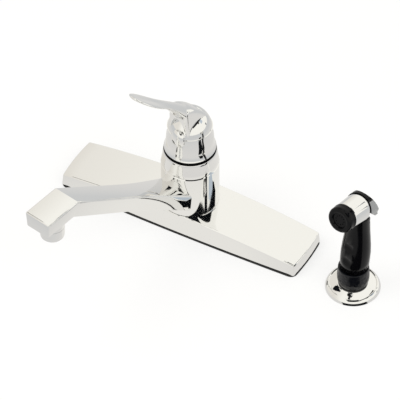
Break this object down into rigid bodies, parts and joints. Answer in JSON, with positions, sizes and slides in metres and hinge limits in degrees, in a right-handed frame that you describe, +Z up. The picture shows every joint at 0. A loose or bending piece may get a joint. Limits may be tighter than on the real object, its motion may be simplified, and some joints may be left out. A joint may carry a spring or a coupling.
{
  "type": "side spray kitchen faucet",
  "caption": "Chrome kitchen faucet with a long arched deck plate, swivel spout with aerator, domed lever handle, and a separate black side spray in its own deck holder.",
  "frame": {"origin": "on the top of the sink deck, on the vertical axis that the spout and the valve share", "axes": "+X along the deck plate towards the side spray, +Y to the back of the sink deck, +Z up"},
  "size_m": [0.3425, 0.2481, 0.2664],
  "materials": {
    "chrome": "polished",
    "brass": "cast",
    "copper": "drawn tube",
    "steel": "plain",
    "black_plastic": "gloss",
    "grey_plastic": "gloss",
    "white_plastic": "satin",
    "rubber": "matte",
    "ceramic": "ground"
  },
  "bodies": {
    "fixture": {"deck_plate": "chrome", "base_gasket": "rubber", "valve_body": "brass", "waterway_tube_left": "copper", "waterway_tube_right": "copper", "inlet_shank_left": "brass", "inlet_shank_right": "brass", "shank_nut_left": "brass", "shank_nut_right": "brass", "shank_washer_left": "steel", "shank_washer_right": "steel", "spray_outlet_nipple": "brass", "cartridge_body": "white_plastic", "fixed_ceramic_disc": "ceramic", "cartridge_retaining_nut": "brass", "spout_o_ring_lower": "rubber", "spout_o_ring_upper": "rubber", "spout_bearing_ring": "white_plastic", "bonnet": "chrome", "spray_flange": "chrome", "spray_holder": "black_plastic", "spray_holder_washer": "steel", "spray_holder_nut": "black_plastic"},
    "spout": {"spout": "chrome", "aerator_housing": "chrome", "aerator_screen": "steel", "aerator_washer": "rubber"},
    "stem_carrier": {"stem_carrier": "white_plastic", "stem_pin": "steel"},
    "lever": {"handle": "chrome", "handle_set_screw": "steel", "cartridge_stem": "brass"},
    "moving_disc": {"moving_ceramic_disc": "ceramic"},
    "diverter": {"diverter": "white_plastic"},
    "hose_end": {"hose_coupling": "brass", "coupling_washer": "rubber"},
    "hand_piece": {"spray_body": "black_plastic", "spray_collar": "chrome", "nozzle_ring": "black_plastic", "spray_face": "black_plastic", "face_washer": "rubber", "lever_pin": "steel", "plunger_spring": "steel"},
    "spray_lever": {"spray_lever": "grey_plastic"},
    "plunger": {"valve_plunger": "white_plastic"}
  },
  "joints": [
    {"name": "spout_swivel", "type": "hinge", "parent": "fixture", "child": "spout", "pos_m": [0, 0, 0.04], "axis": [0, 0, 1], "range_deg": [-48.7, 71.3]},
    {"name": "handle_turn", "type": "hinge", "parent": "fixture", "child": "stem_carrier", "pos_m": [0, 0, 0.079], "axis": [0, 0, 1], "range_deg": [-38, 62]},
    {"name": "handle_lift", "type": "hinge", "parent": "stem_carrier", "child": "lever", "pos_m": [0, 0, 0.079], "axis": [-0.9781, 0.2079, 0], "range_deg": [0, 25]},
    {"name": "disc_slide", "type": "slide", "parent": "stem_carrier", "child": "moving_disc", "axis": [-0.2079, -0.9781, 0], "range_m": [0, 0.0035]},
    {"name": "diverter_slide", "type": "slide", "parent": "fixture", "child": "diverter", "axis": [0, 0, 1], "range_m": [0, 0.003]},
    {"name": "spray_lift", "type": "slide", "parent": "fixture", "child": "hose_end", "axis": [0, 0, 1], "range_m": [0, 0.15]},
    {"name": "spray_swivel", "type": "hinge", "parent": "hose_end", "child": "hand_piece", "pos_m": [0.1842, -0.0097, 0.02], "axis": [0, 0, 1], "continuous": true},
    {"name": "spray_trigger", "type": "hinge", "parent": "hand_piece", "child": "spray_lever", "pos_m": [0.1843, -0.00901, 0.1064], "axis": [-0.9888, 0.1495, 0], "range_deg": [0, 11.5], "stiffness_Nm_per_rad": 0.6, "springref_deg": -8.59},
    {"name": "plunger_slide", "type": "slide", "parent": "hand_piece", "child": "plunger", "axis": [0, 0, -1], "range_m": [0, 0.00125], "deforming": ["plunger_spring"]}
  ],
  "couplings": [
    {"joint": "disc_slide", "follows": "handle_lift", "m_per_rad": 0.00794},
    {"joint": "plunger_slide", "follows": "spray_trigger", "m_per_rad": 0.006}
  ]
}
